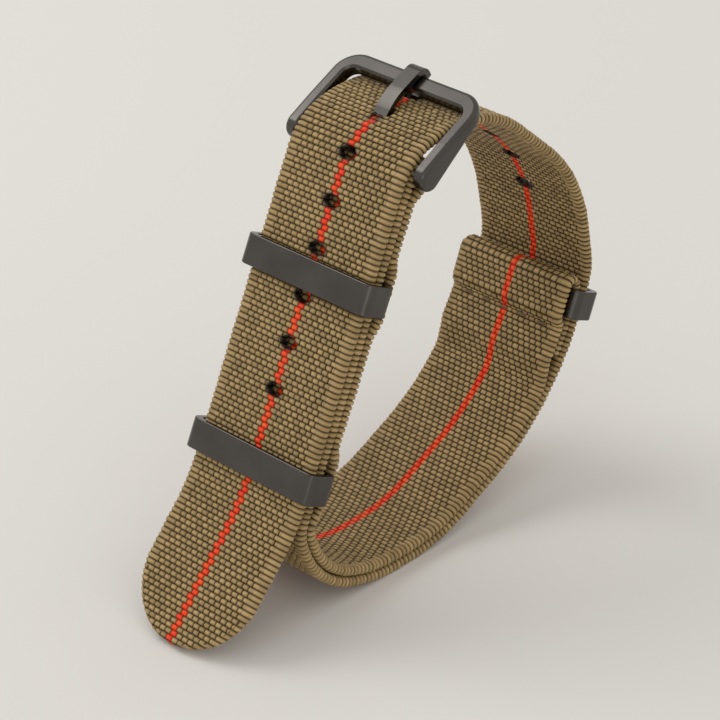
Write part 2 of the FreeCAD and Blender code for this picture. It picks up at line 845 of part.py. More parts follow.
def spring_bar_spring():
    wire = size("spring_wire")
    half = HEAD_INNER - wire / 2 - PIN_GAP
    radius = HEAD - PIN_GAP - wire / 2
    helix = Part.makeHelix(2 * half / SPRING_TURNS, 2 * half, radius)
    spokes = [2 * math.pi * (flat + 0.5) / WIRE_FLATS for flat in range(WIRE_FLATS + 1)]
    rim = [Vector(radius + wire / 2 * math.cos(a), 0, wire / 2 * math.sin(a)) for a in spokes]
    section = Part.makePolygon(rim)
    coil = Part.Wire(helix.Edges).makePipeShell([section], True, True)
    spring = doc.addObject("Part::Feature", "spring_bar_spring")
    spring.Label = "spring_bar_spring"
    spring.Shape = coil
    lying = Placement(Vector(-half, 0, 0), Rotation(Vector(0, 1, 0), 90))
    spring.Placement = FRAME_PLACE.multiply(lying)
    return spring


# the tang comes up through the middle of the tail here, in the buckle's frame
TANG_CROSSING = Vector(0, 4.0, 2.25)


def nearest_station(point, first, last):
    steps = 1000
    stations = [first + (last - first) * n / steps for n in range(steps + 1)]
    return min(stations, key=lambda station: (place_on(LOOP, station)[0] - point).Length)


crossing_place = FRAME_PLACE.multVec(TANG_CROSSING)
TANG_HOLE = nearest_station(Vector(crossing_place.y, crossing_place.z, 0), TIP / 2, TIP)

nodes = [
    main_strap(),
    short_strap(),
    metal_band("upper_keeper", strap_place(UPPER_KEEPER, -CLOSE / 2)),
    metal_band("lower_keeper", strap_place(LOWER_KEEPER, -CLOSE / 2)),
    metal_band("end_ring", strap_place(RING, CLOSE / 2)),
    buckle_frame(),
    buckle_tang(),
    spring_bar_tube(),
    spring_bar_pin("spring_bar_left_pin", -1),
    spring_bar_pin("spring_bar_right_pin", 1),
    spring_bar_spring(),
]
nodes = nodes + [stitch_row(row) for row in ROWS]
doc.recompute()

# the origin goes under the middle of the whole strap
bounds = FreeCAD.BoundBox()
for node in nodes:
    bounds.add(node.Shape.BoundBox)
to_origin = Vector(0, -(bounds.YMin + bounds.YMax) / 2, 0)
for node in nodes:
    node.Placement = Placement(to_origin, Rotation()).multiply(node.Placement)
doc.recompute()

for thing in doc.Objects:
    if "Invalid" in thing.State or "Error" in thing.State:
        raise RuntimeError("failed: " + thing.Name)
os.makedirs("parts", exist_ok=True)
for node in nodes:
    if node.Shape.isNull() or not node.Shape.isValid():
        raise RuntimeError("bad shape: " + node.Label)
    node.Shape.exportStep("parts/" + node.Label + ".step")
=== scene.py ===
import bmesh
import bpy
import math
import numpy as np
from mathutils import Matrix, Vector


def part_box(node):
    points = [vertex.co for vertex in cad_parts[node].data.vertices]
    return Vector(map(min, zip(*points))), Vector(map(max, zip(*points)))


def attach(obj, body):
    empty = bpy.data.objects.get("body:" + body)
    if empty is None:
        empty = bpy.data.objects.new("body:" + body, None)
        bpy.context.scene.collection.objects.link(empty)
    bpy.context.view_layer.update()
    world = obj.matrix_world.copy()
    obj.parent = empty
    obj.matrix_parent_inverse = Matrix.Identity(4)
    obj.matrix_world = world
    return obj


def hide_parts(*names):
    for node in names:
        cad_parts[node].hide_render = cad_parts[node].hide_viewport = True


# A woven pull-through watch strap. The CAD holds the metal parts; this script weaves the webbing
# and the sewing, paints everything, and lights it. Lengths are in millimetres until a mesh is made;
# the lights, the camera and the textures are in metres.

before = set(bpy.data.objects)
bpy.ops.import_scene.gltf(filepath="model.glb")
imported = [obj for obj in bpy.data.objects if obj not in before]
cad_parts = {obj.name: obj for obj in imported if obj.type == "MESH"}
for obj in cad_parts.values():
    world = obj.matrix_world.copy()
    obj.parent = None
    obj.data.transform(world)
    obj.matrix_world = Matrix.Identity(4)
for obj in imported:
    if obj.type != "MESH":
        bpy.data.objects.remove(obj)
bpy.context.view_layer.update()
MM = 0.001


def node_box(node):
    # a node's lowest and highest corners, in millimetres
    low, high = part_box(node)
    return np.array(low) / MM, np.array(high) / MM


# The webbing's sizes, the same as in the part's source

strap_low, strap_high = node_box("main_strap")
WIDTH = strap_high[0] - strap_low[0]
THICK = 1.3
CLOSE = 1.6
APART = 2.5
BAND = 4.2
DEPTH = 58.6
HEIGHT = 65.0
LEAN = math.radians(65.0)
TAIL_FLARE = math.radians(17.0)
TOP_SLOPE = math.radians(12.6)
FRONT_RUN = 0.77 * HEIGHT
UPPER_KEEPER = 17.0
LOWER_KEEPER = 43.0
TAIL_CLEAR = 6.0
# the fold round the spring bar: its radius, how far in the outer layer starts, and the stations
# between which the two layers come together
FOLD_RADIUS = 1.45
FOLD_INSET = 0.43
FOLD_LEAD = 0.6
FOLD_END = 4.4
FOLD_PAST_END = 9.0
FRAME_TILT = math.radians(29.0)
# half the length of a keeper's pocket, the length over which a layer steps, and half the gap
# between the ends of two layers that meet
POCKET = BAND / 2 + 0.7
STEP = 3.0
END_GAP = 0.2
# the short strap's turned-back end and its fold in the end ring, measured from the ring
FLAP_STEP = 14.5
FLAP_END = 8.5
RING_STEP_START = 3.9
RING_STEP_END = 2.0
RING_PAST = 5
RING_FOLD = BAND / 2 - 0.1
HOLE_PITCH = 6.5
HOLES_EACH_WAY = 6
HOLE_RADIUS = 1.1
HOLE_HALF_LENGTH = HOLE_RADIUS * 0.8
HOLE_HALF_WIDTH = HOLE_RADIUS * 1.25
# how finely the routes are drawn: points in a bend, points in a fold, and the step along a layer
BEND_POINTS = 40
FOLD_POINTS = 60
LAYER_STEP = 0.1
# a route's direction is taken this far to either side, and a nearest place is looked for in this many
LOOK_AHEAD = 0.06
SEARCH_POINTS = 8000

bar_low, bar_high = node_box("spring_bar_tube")
BAR = (bar_low[1:] + bar_high[1:]) / 2


# Routes: a line in the side view, given as (y, z) points, with places along it

def left_of(way):
    return np.stack([-way[..., 1], way[..., 0]], -1)


class Route:
    def __init__(self, points):
        steps = np.linalg.norm(np.diff(points, axis=0), axis=1)
        keep = np.concatenate([[True], steps > 1e-6])
        self.points = points[keep]
        steps = np.linalg.norm(np.diff(self.points, axis=0), axis=1)
        self.stations = np.concatenate([[0], np.cumsum(steps)])
        self.length = self.stations[-1]

    def at(self, station):
        columns = [np.interp(station, self.stations, self.points[:, axis]) for axis in (0, 1)]
        return np.stack(columns, -1)

    def along(self, station):
        way = self.at(station + LOOK_AHEAD) - self.at(station - LOOK_AHEAD)
        return way / np.linalg.norm(way, axis=-1, keepdims=True)

    def beside(self, station, shift):
        return self.at(station) + left_of(self.along(station)) * np.asarray(shift)[..., None]


def rounded(corners):
    # a route through corners given as (point, radius); the first and last are its ends
    points = [np.array(corners[0][0])]
    for (before, _), (corner, radius), (after, _) in zip(corners, corners[1:], corners[2:]):
        way_in = (corner - before) / np.linalg.norm(corner - before)
        way_out = (after - corner) / np.linalg.norm(after - corner)
        turn = math.atan2(way_in[0] * way_out[1] - way_in[1] * way_out[0], way_in @ way_out)
        start = corner - way_in * radius * math.tan(abs(turn) / 2)
        side = math.copysign(1, turn)
        centre = start + left_of(way_in) * radius * side
        for share in np.linspace(0, 1, BEND_POINTS):
            angle = abs(turn) * share
            spoke = -left_of(way_in) * side * math.cos(angle) + way_in * math.sin(angle)
            points.append(centre + spoke * radius)
    points.append(np.array(corners[-1][0]))
    return Route(np.array(points))


def meeting(point, way, other, other_way):
    # where two lines cross
    gap = other - point
    cross = way[0] * other_way[1] - way[1] * other_way[0]
    return point + way * (gap[0] * other_way[1] - gap[1] * other_way[0]) / cross


def turned(angle):
    return np.array([math.cos(angle), math.sin(angle)])


def loop_point(across, up):
    return np.array([across * DEPTH, max(up * HEIGHT, THICK / 2)])


def strap_loop():
    # the middle of the outer layer, from the buckle's bar round the wrist and down the tail
    up_front = turned(LEAN)
    inward = np.array([up_front[1], -up_front[0]])
    knee = loop_point(0, 0.22)
    bar_side = knee + up_front * FRONT_RUN
    top = loop_point(0.594, 1.0)
    tail_side = bar_side - inward * CLOSE
    top_front = meeting(tail_side, up_front, top, turned(TOP_SLOPE))
    flare = tail_side - up_front * (LOWER_KEEPER + TAIL_CLEAR)
    slope = LEAN - TAIL_FLARE
    tip = flare - turned(slope) * ((flare[1] - THICK / 2 * math.cos(slope)) / math.sin(slope))
    corners = [
        (knee, 0.077),
        (loop_point(0.0575, 0.0734), 0.223),
        (loop_point(0.245, 0), 0.385),
        (loop_point(0.465, 0), 0.385),
        (loop_point(0.860, 0.176), 0.554),
        (loop_point(1.0, 0.478), 0.123),
        (loop_point(0.947, 0.724), 0.4),
        (top, 0.3),
        (top_front, 0.131),
        (flare, 0.462),
    ]
    bends = [(point, share * HEIGHT) for point, share in corners]
    # the whole side view is moved so that the fold at its start is centred on the spring bar
    shift = BAR - (bar_side + inward * (FOLD_INSET + FOLD_RADIUS))
    everything = [(bar_side, 0)] + bends + [(tip, 0)]
    return rounded([(point + shift, radius) for point, radius in everything])


LOOP = strap_loop()


def nearest_station(route, place, first=0.0):
    stations = np.linspace(first, route.length, SEARCH_POINTS)
    return stations[np.linalg.norm(route.at(stations) - place, axis=1).argmin()]


ring_low, ring_high = node_box("end_ring")
RING = nearest_station(LOOP, (ring_low[1:] + ring_high[1:]) / 2)
TIP = LOOP.length


def eased(station, keys):
    # keys are (station, value): held level between equal values, and eased between others
    places = np.array([key[0] for key in keys], float)
    values = np.array([key[1] for key in keys], float)
    number = np.clip(np.searchsorted(places, station) - 1, 0, len(keys) - 2)
    share = (station - places[number]) / (places[number + 1] - places[number])
    share = np.clip(share, 0, 1)
    share = share * share * (3 - 2 * share)
    return values[number] + (values[number + 1] - values[number]) * share


def around(centre, spoke, way, radius):
    # half a turn from spoke, through way, to the other side
    angles = np.linspace(0, math.pi, FOLD_POINTS)[:, None]
    return centre + radius * (spoke * np.cos(angles) + way * np.sin(angles))


FLAP_KEYS = [
    (0.0, FOLD_INSET + 2 * FOLD_RADIUS), (FOLD_LEAD, FOLD_INSET + 2 * FOLD_RADIUS), (FOLD_END, CLOSE),
    (UPPER_KEEPER - POCKET - STEP, CLOSE), (UPPER_KEEPER - POCKET, APART),
    (UPPER_KEEPER + POCKET, APART), (UPPER_KEEPER + POCKET + STEP, CLOSE),
    (LOWER_KEEPER - POCKET - STEP, CLOSE), (LOWER_KEEPER - POCKET, APART), (LOWER_KEEPER, APART)]
LIMB_KEYS = [
    (LOWER_KEEPER, APART), (LOWER_KEEPER + POCKET, APART), (LOWER_KEEPER + POCKET + STEP, CLOSE),
    (RING - FLAP_STEP, CLOSE), (RING - FLAP_END, 2 * CLOSE), (RING - RING_STEP_START, 2 * CLOSE),
    (RING - RING_STEP_END, CLOSE + APART), (RING + RING_PAST, CLOSE + APART)]
# the outer layer has left the fold's inset behind at this station
INSET_END = 5.0
INSET_KEYS = [(0.0, FOLD_INSET), (FOLD_LEAD, FOLD_INSET), (FOLD_END, 0.0), (FOLD_PAST_END, 0.0)]


def main_route():
    # the folded-in end, the fold round the spring bar, the loop and the tail
    stations = np.arange(LOWER_KEEPER - END_GAP, 0, -LAYER_STEP)
    flap = LOOP.beside(stations, eased(stations, FLAP_KEYS))
    down = LOOP.along(np.array([LAYER_STEP]))[0]
    fold = around(BAR, left_of(down), -down, FOLD_RADIUS)
    stations = np.arange(0, INSET_END, LAYER_STEP)
    inset = LOOP.beside(stations, eased(stations, INSET_KEYS))
    return Route(np.concatenate([flap, fold, inset, LOOP.points[LOOP.stations > INSET_END]]))


def short_route():
    # the short strap, up to its fold in the end ring and back down inside
    stations = np.arange(LOWER_KEEPER + END_GAP, RING + RING_FOLD, LAYER_STEP)
    limb = LOOP.beside(stations, eased(stations, LIMB_KEYS))
    turn = np.array([RING + RING_FOLD])
    way = LOOP.along(turn)[0]
    centre = LOOP.beside(turn, np.array([CLOSE + APART / 2]))[0]
    fold = around(centre, left_of(way), way, APART / 2)
    stations = np.arange(RING + RING_FOLD, RING - FLAP_END, -LAYER_STEP)
    flap = LOOP.beside(stations, np.full(len(stations), CLOSE))
    return Route(np.concatenate([limb, fold, flap]))


# The weave. It is laid out in beads across the strap and rows along it.

ROW = 0.76
BEADS_ACROSS = 19
BEAD = WIDTH / BEADS_ACROSS
# every other row is shifted by this share of a bead, and the stripe's beads sit either side of the middle
BRICK = 0.38
STRIPE_OFFSET = 0.5 - BRICK / 2
SELVAGE = 1.35
ROW_STEPS = 4
BEAD_STEPS = 6
EDGE_STEPS = 8
OUTSIDE, WRIST_SIDE, EDGE = 0.0, 1.0, 2.0
# the relief: beads stand above the flat, grooves lie below it, and the wrist side is shallower
BEAD_RISE = 0.09
GROOVE = 0.32
WRIST_SHARE = 0.62
# how square the beads are along the strap and across it, and across it in their colour
ALONG_POWER = 2.6
ACROSS_POWER = 3.5
PAINT_POWER = 5.0
# depth and reach of the crease beside the selvage, the dip round a hole, and a stitch's dimple
CREASE_DEPTH = 0.08
CREASE_REACH = 0.14
RIM_DEPTH = 0.08
RIM_REACH = 0.16
DIMPLE_DEPTH = 0.16
DIMPLE_ALONG = 0.55
DIMPLE_ACROSS = 0.95
# how deep a metal band presses the webbing, and how deep and far the cut ends draw in
PRESSED = 0.16
END_DEPTH = 0.2
END_REACH = 0.3
# each bead's own height differs by about this much
UNEVEN = 0.022
UNEVEN_COLUMNS = 64
# the melted colour, darkened by painted shade on the hole walls, reaches this far from a hole's rim, and
# the distance where there is no hole
MELT_SHADE_REACH = 0.2
NO_RIM = 9.0
# keeps a whole number of rows or beads on the right side of its floor
NUDGE = 1e-4
# guards: the least reach that a point is drawn out from, the narrowest width of the tip, and the
# share of half a width from the end at which the selvage starts
LEAST_REACH = 0.05
LEAST_WIDTH = 0.02
LEAST_CHORD = 0.001
TIP_SHARE = 0.75


def fraction(value):
    return value - np.floor(value)


def dome(share, power):
    # 0 at both ends of a cell and 1 in the middle
    return 1 - np.abs(2 * share - 1) ** power


def bead_height(across, row, kind):
    # from 0 in a groove to 1 on top of a bead
    number = np.floor(row + NUDGE)
    shift = np.where(kind == WRIST_SIDE, number / 3, np.mod(number, 2) * BRICK)
    bead = across / BEAD + STRIPE_OFFSET + shift
    along = dome(fraction(row + NUDGE), ALONG_POWER)
    middle = dome(fraction(bead + NUDGE), ACROSS_POWER)
    plain = np.sqrt(np.clip(along * middle, 0, 1))
    edge = np.sqrt(np.clip(along, 0, 1))
    return np.where(kind == EDGE, edge, plain)


class Hole:
    # a hole through the webbing, centred at a station on each face
    def __init__(self, outside, inside, half_length, half_width, square=False):
        self.centre = {0: outside, 1: inside}
        self.half_length = half_length
        self.half_width = half_width
        self.power = 6.0 if square else 2.0

    def reach(self, face, station, across):
        # below 1 inside the hole and 1 on its rim
        along = np.abs(station - self.centre[face]) / self.half_length
        beside = np.abs(across) / self.half_width
        return (along ** self.power + beside ** self.power) ** (1 / self.power)


def add_mesh(name, points, faces, values, material):
    mesh = bpy.data.meshes.new(name)
    mesh.vertices.add(len(points))
    mesh.vertices.foreach_set("co", (points * MM).astype(np.float32).ravel())
    mesh.loops.add(faces.size)
    mesh.loops.foreach_set("vertex_index", faces.astype(np.int32).ravel())
    mesh.polygons.add(len(faces))
    mesh.polygons.foreach_set("loop_start", np.arange(len(faces), dtype=np.int32) * 4)
    mesh.polygons.foreach_set("use_smooth", np.ones(len(faces), bool))
    mesh.update(calc_edges=True)
    for label, value in values.items():
        kind = "FLOAT_VECTOR" if value.ndim == 2 else "FLOAT"
        field = "vector" if value.ndim == 2 else "value"
        layer = mesh.attributes.new(label, kind, "POINT")
        layer.data.foreach_set(field, value.astype(np.float32).ravel())
    mesh.materials.append(material)
    thing = bpy.data.objects.new(name, mesh)
    bpy.context.scene.collection.objects.link(thing)
    return thing


class Grid:
    # rings of points round the webbing: outer face, one edge, wrist face, other edge
    def __init__(self, route):
        self.route = route
        self.half = WIDTH / 2 - THICK / 2
        self.rows = int(route.length / ROW * ROW_STEPS)
        columns = int(round(2 * self.half / BEAD * BEAD_STEPS))
        across = np.linspace(-self.half, self.half, columns + 1)
        bend = np.linspace(0, math.pi, EDGE_STEPS + 1)[1:-1]
        edge = np.full(len(bend), self.half)
        ring_x = np.concatenate([across, edge, across[::-1], -edge])
        ring_angle = np.concatenate([
            np.zeros(columns + 1), bend, np.full(columns + 1, math.pi), math.pi + bend])
        self.flat = len(across)
        self.size = len(ring_x)
        self.wrist_start = self.flat + len(bend)
        station = np.linspace(0, route.length, self.rows + 1)
        self.s = np.repeat(station[:, None], self.size, 1)
        self.x = np.repeat(ring_x[None, :], self.rows + 1, 0)
        self.angle = np.repeat(ring_angle[None, :], self.rows + 1, 0)
        self.face_of = {0: np.arange(self.flat), 1: self.wrist_start + np.arange(self.flat)}
        self.on_edge = np.ones((1, self.size), bool)
        for where in self.face_of.values():
            self.on_edge[:, where] = False
        self.gone = np.zeros((self.rows, self.flat - 1), bool)
        self.from_rim = np.full(self.s.shape, NO_RIM)

    def cut(self, hole):
        # points near the rim are drawn onto it, and the faces inside are left out
        inside = {}
        for face, where in self.face_of.items():
            inside[face] = hole.reach(face, self.s[:, where], self.x[:, where]) < 1
        both = inside[0] | inside[1][:, ::-1]
        # a face is left out when each of its corners is inside on one side or the other
        corner = both[:-1, :-1] & both[1:, :-1] & both[:-1, 1:] & both[1:, 1:]
        self.gone |= corner
        touched = np.zeros(both.shape, bool)
        for i, j in ((0, 0), (1, 0), (0, 1), (1, 1)):
            touched[i:i + self.rows, j:j + self.flat - 1] |= corner
        for face, where in self.face_of.items():
            mask = touched if face == 0 else touched[:, ::-1]
            s, x = self.s[:, where], self.x[:, where]
            scale = np.where(mask, 1 / np.maximum(hole.reach(face, s, x), LEAST_REACH), 1)
            s = np.where(mask, hole.centre[face] + (s - hole.centre[face]) * scale, s)
            x = np.where(mask, x * scale, x)
            self.s[:, where] = s
            self.x[:, where] = x
            narrowest = min(hole.half_length, hole.half_width)
            away = np.abs(hole.reach(face, s, x) - 1) * narrowest
            self.from_rim[:, where] = np.minimum(self.from_rim[:, where], away)

    def shape_section(self, tip):
        # half-round edges, and a half-round tip whose points are drawn in to its outline
        limit = np.full(self.s.shape, self.half)
        to_end = self.route.length - self.s
        if tip:
            into = WIDTH / 2 - np.clip(to_end, 0, WIDTH / 2)
            chord = np.sqrt(np.clip((WIDTH / 2) ** 2 - into ** 2, LEAST_CHORD, None))
            limit = np.minimum(chord - THICK / 2, self.half)
        narrow = np.clip(limit, LEAST_WIDTH, None)
        self.x = np.clip(self.x, -narrow, narrow)
        self.full_width = limit > self.half - 0.01
        self.radius = np.minimum(THICK / 2, limit + THICK / 2)
        side = np.where(np.cos(self.angle) > 0, 1.0, -1.0)
        self.out_x = np.where(self.on_edge, np.sin(self.angle), 0.0)
        self.out_n = np.where(self.on_edge, np.cos(self.angle), side)
        self.from_edge = limit + THICK / 2 - np.abs(self.x)
        face_kind = np.where(self.out_n > 0, OUTSIDE, WRIST_SIDE)
        self.kind = np.where(self.from_edge < SELVAGE, EDGE, face_kind)
        if tip:
            # the selvage is cut away where the tip narrows
            cut = to_end < WIDTH / 2 * TIP_SHARE
            self.kind = np.where(cut & ~self.on_edge, face_kind, self.kind)

    def relief(self, stitches, pressed):
        # how far each point stands above or below the smooth webbing
        row = self.s / ROW
        relief = -GROOVE + (GROOVE + BEAD_RISE) * bead_height(self.x, row, self.kind)
        relief = np.where(self.kind == WRIST_SIDE, relief * WRIST_SHARE, relief)
        crease = np.exp(-((self.from_edge - SELVAGE) / CREASE_REACH) ** 2)
        relief = relief - CREASE_DEPTH * crease * ~self.on_edge * self.full_width
        relief = relief - RIM_DEPTH * np.exp(-(self.from_rim / RIM_REACH) ** 2)
        rng = np.random.default_rng(7)
        uneven = rng.normal(0, UNEVEN, (int(self.route.length / ROW) + 2, UNEVEN_COLUMNS))
        number = np.floor(row)
        cell = np.floor(self.x / BEAD + STRIPE_OFFSET + np.mod(number, 2) * BRICK).astype(int)
        number = np.clip(number.astype(int), 0, len(uneven) - 1)
        relief = relief + uneven[number, cell % UNEVEN_COLUMNS]
        for first, last in pressed:
            # a metal band presses the webbing thinner here
            inside = np.clip(self.s - first, 0, 1) * np.clip(last - self.s, 0, 1)
            relief = relief - PRESSED * inside
        pull = np.zeros(self.s.shape)
        for middle, spots in stitches:
            for spot in spots:
                gap = ((self.s - middle) / DIMPLE_ALONG) ** 2 + ((self.x - spot) / DIMPLE_ACROSS) ** 2
                pull += np.exp(-gap)
        relief = relief - DIMPLE_DEPTH * np.clip(pull, 0, 1)
        end = np.minimum(self.s, self.route.length - self.s)
        whole = np.clip(end / END_REACH, 0, 1)
        return relief * whole - END_DEPTH * (1 - whole)

    def points(self, relief):
        through = (self.radius + relief) * self.out_n
        beside = self.x + (self.radius + relief) * self.out_x
        # the outer face of the loop lies to the right of the way that the route runs
        normal = -left_of(self.route.along(self.s))
        place = self.route.at(self.s) + normal * through[..., None]
        return np.stack([beside, place[..., 0], place[..., 1]], -1).reshape(-1, 3)

    def faces(self):
        # faces round each ring, walls in the holes and a cap at each end
        index = np.arange((self.rows + 1) * self.size).reshape(-1, self.size)
        after = np.roll(index, -1, 1)
        quads = np.stack([index[:-1], index[1:], after[1:], after[:-1]], -1)
        keep = np.ones((self.rows, self.size), bool)
        keep[:, :self.flat - 1] = ~self.gone
        keep[:, self.wrist_start:self.wrist_start + self.flat - 1] = ~self.gone[:, ::-1]
        outer = index[:, :self.flat]
        inner = index[:, self.wrist_start:self.wrist_start + self.flat][:, ::-1]
        padded = np.pad(self.gone, 1)
        walls = []

        def wall(p, q):
            walls.append((outer[p], outer[q], inner[q], inner[p]))

        for i, j in zip(*np.nonzero(self.gone)):
            if not padded[i, j + 1]:
                wall((i, j), (i, j + 1))
            if not padded[i + 2, j + 1]:
                wall((i + 1, j + 1), (i + 1, j))
            if not padded[i + 1, j]:
                wall((i + 1, j), (i, j))
            if not padded[i + 1, j + 2]:
                wall((i, j + 1), (i + 1, j + 1))
        for j in range(self.flat - 1):
            wall((0, j), (0, j + 1))
            wall((self.rows, j + 1), (self.rows, j))
        return np.concatenate([quads[keep], np.array(walls)])


def webbing(name, route, material, holes=(), stitches=(), pressed=(), tip=False):
    grid = Grid(route)
    for hole in holes:
        grid.cut(hole)
    grid.shape_section(tip)
    points = grid.points(grid.relief(stitches, pressed))
    weave = np.stack([grid.x / BEAD + STRIPE_OFFSET, grid.s / ROW, grid.kind], -1).reshape(-1, 3)
    # the rims' melted colour, with painted shade on the hole walls, fades out from each rim
    melt_and_shade = np.exp(-(grid.from_rim / MELT_SHADE_REACH) ** 2).ravel()
    made = add_mesh(name, points, grid.faces(), {"weave": weave, "melt_and_shade": melt_and_shade}, material)
    tidy(made)
    return made


def tidy(thing):
    # drops the loose points left inside holes, and makes the faces look outwards
    work = bmesh.new()
    work.from_mesh(thing.data)
    loose = [point for point in work.verts if not point.link_faces]
    bmesh.ops.delete(work, geom=loose, context="VERTS")
    bmesh.ops.recalc_face_normals(work, faces=work.faces)
    work.to_mesh(thing.data)
    work.free()


# Materials

def new_material(name):
    material = bpy.data.materials.new(name)
    material.use_nodes = True
    tree = material.node_tree
    return material, tree, tree.nodes["Principled BSDF"]


class Graph:
    # short names for the nodes used below
    def __init__(self, tree):
        self.tree = tree

    def put(self, socket, value):
        if hasattr(value, "is_linked"):
            self.tree.links.new(value, socket)
        else:
            socket.default_value = value

    def math(self, operation, a, b=0.0):
        node = self.tree.nodes.new("ShaderNodeMath")
        node.operation = operation
        self.put(node.inputs[0], a)
        self.put(node.inputs[1], b)
        return node.outputs[0]

    def mix(self, share, a, b):
        node = self.tree.nodes.new("ShaderNodeMix")
        node.data_type = "RGBA"
        self.put(node.inputs["Factor"], share)
        self.put(node.inputs[6], a)
        self.put(node.inputs[7], b)
        return node.outputs[2]

    def noise(self, scale, detail=2.0, vector=None):
        node = self.tree.nodes.new("ShaderNodeTexNoise")
        node.inputs["Scale"].default_value = scale
        node.inputs["Detail"].default_value = detail
        if vector is None:
            vector = self.tree.nodes.new("ShaderNodeTexCoord").outputs["Object"]
        self.put(node.inputs["Vector"], vector)
        return node.outputs["Fac"]

    def random(self, a, b):
        join = self.tree.nodes.new("ShaderNodeCombineXYZ")
        self.put(join.inputs[0], a)
        self.put(join.inputs[1], b)
        node = self.tree.nodes.new("ShaderNodeTexWhiteNoise")
        node.noise_dimensions = "2D"
        self.put(node.inputs["Vector"], join.outputs[0])
        return node.outputs["Value"]

    def attribute(self, name):
        node = self.tree.nodes.new("ShaderNodeAttribute")
        node.attribute_name = name
        return node

    def bump(self, height, distance, strength=1.0):
        node = self.tree.nodes.new("ShaderNodeBump")
        node.inputs["Strength"].default_value = strength
        node.inputs["Distance"].default_value = distance
        self.put(node.inputs["Height"], height)
        return node.outputs["Normal"]


def linear(red, green, blue):
    # a colour as seen on a screen, from 0 to 255, as shaders take it
    shares = [channel / 255 for channel in (red, green, blue)]
    return tuple(c / 12.92 if c < 0.04045 else ((c + 0.055) / 1.055) ** 2.4 for c in shares) + (1.0,)


# the darkest and lightest of each colour, the painted shade in the grooves in khaki and in red, and the
# hole rims' melted colour darkened by painted shade
KHAKI = linear(144, 119, 74), linear(196, 166, 112)
RED = linear(246, 58, 8), linear(255, 92, 26)
GROOVE_SHADE = linear(20, 11, 3), linear(160, 26, 6)
RIM_MELT_AND_SHADE = linear(22, 14, 8)


def webbing_material():
    material, tree, shader = new_material("woven_webbing")
    g = Graph(tree)
    parts = tree.nodes.new("ShaderNodeSeparateXYZ")
    g.put(parts.inputs[0], g.attribute("weave").outputs["Vector"])
    across, row, kind = parts.outputs[0], parts.outputs[1], parts.outputs[2]
    number = g.math("FLOOR", row)
    along = g.math("FRACT", row)
    on_wrist = g.math("MULTIPLY", g.math("GREATER_THAN", kind, 0.5), g.math("LESS_THAN", kind, 1.5))
    on_edge = g.math("GREATER_THAN", kind, 1.5)
    half = g.math("MULTIPLY", g.math("MODULO", number, 2.0), BRICK)
    third = g.math("MULTIPLY", number, 1 / 3)
    wrist_shift = g.math("MULTIPLY", on_wrist, g.math("SUBTRACT", third, half))
    shift = g.math("ADD", half, wrist_shift)
    bead = g.math("ADD", across, shift)
    column = g.math("FLOOR", bead)
    side = g.math("FRACT", bead)

    def cell_dome(share, power):
        out = g.math("ABSOLUTE", g.math("SUBTRACT", g.math("MULTIPLY", share, 2.0), 1.0))
        return g.math("SUBTRACT", 1.0, g.math("POWER", out, power))

    rib = cell_dome(along, ALONG_POWER)
    lump = cell_dome(side, PAINT_POWER)
    field = g.math("MULTIPLY", rib, g.math("MAXIMUM", lump, on_edge))
    # on the outside the red stripe takes one bead in each row
    middle = g.math("SUBTRACT", g.math("SUBTRACT", g.math("ADD", column, 0.5), shift), STRIPE_OFFSET)
    in_stripe = g.math("LESS_THAN", g.math("ABSOLUTE", middle), 0.499)
    # on the wrist side the stripe is a plain straight line
    from_middle = g.math("ABSOLUTE", g.math("SUBTRACT", across, STRIPE_OFFSET))
    straight = g.math("LESS_THAN", from_middle, 0.5)
    change = g.math("MULTIPLY", on_wrist, g.math("SUBTRACT", straight, in_stripe))
    in_stripe = g.math("ADD", in_stripe, change)
    in_stripe = g.math("MULTIPLY", in_stripe, g.math("SUBTRACT", 1.0, on_edge))
    tone = g.random(column, number)
    patches = g.noise(90.0, 3.0)
    shade = g.math("ADD", g.math("MULTIPLY", tone, 0.55), g.math("MULTIPLY", patches, 0.45))
    khaki = g.mix(shade, *KHAKI)
    red = g.mix(tone, *RED)
    colour = g.mix(in_stripe, khaki, red)
    # painted shade darkens the grooves, and the rims and walls of the holes take a melted colour darkened
    # further by painted shade
    # painted shade: the grooves between the beads are coloured near black, and dark red in the stripe
    groove_shade = g.mix(in_stripe, *GROOVE_SHADE)
    lit = g.math("POWER", g.math("MAXIMUM", field, 0.0), 1.1)
    colour = g.mix(lit, groove_shade, colour)
    # painted shade: near black on the hole walls and rims, over their melted colour
    melt_and_shade = g.attribute("melt_and_shade").outputs["Fac"]
    colour = g.mix(g.math("MULTIPLY", melt_and_shade, 0.95), colour, RIM_MELT_AND_SHADE)
    g.put(shader.inputs["Base Color"], colour)
    # fine filaments run across the strap inside every bead
    strands = g.math("SINE", g.math("ADD", g.math("MULTIPLY", along, 31.0), g.math("MULTIPLY", side, 2.5)))
    fibre = g.math("MULTIPLY", strands, 0.06)
    fuzz = g.math("MULTIPLY", g.noise(2600.0, 2.0), 0.25)
    height = g.math("ADD", g.math("ADD", lit, fibre), fuzz)
    g.put(shader.inputs["Normal"], g.bump(height, 0.00012, 0.8))
    rough = g.math("ADD", 0.46, g.math("MULTIPLY", g.noise(700.0, 2.0), 0.2))
    g.put(shader.inputs["Roughness"], rough)
    # no shine comes from down in the grooves
    g.put(shader.inputs["Specular IOR Level"], g.math("MULTIPLY", lit, 0.5))
    g.put(shader.inputs["Sheen Weight"], g.math("MULTIPLY", lit, 0.06))
    shader.inputs["Sheen Roughness"].default_value = 0.4
    return material


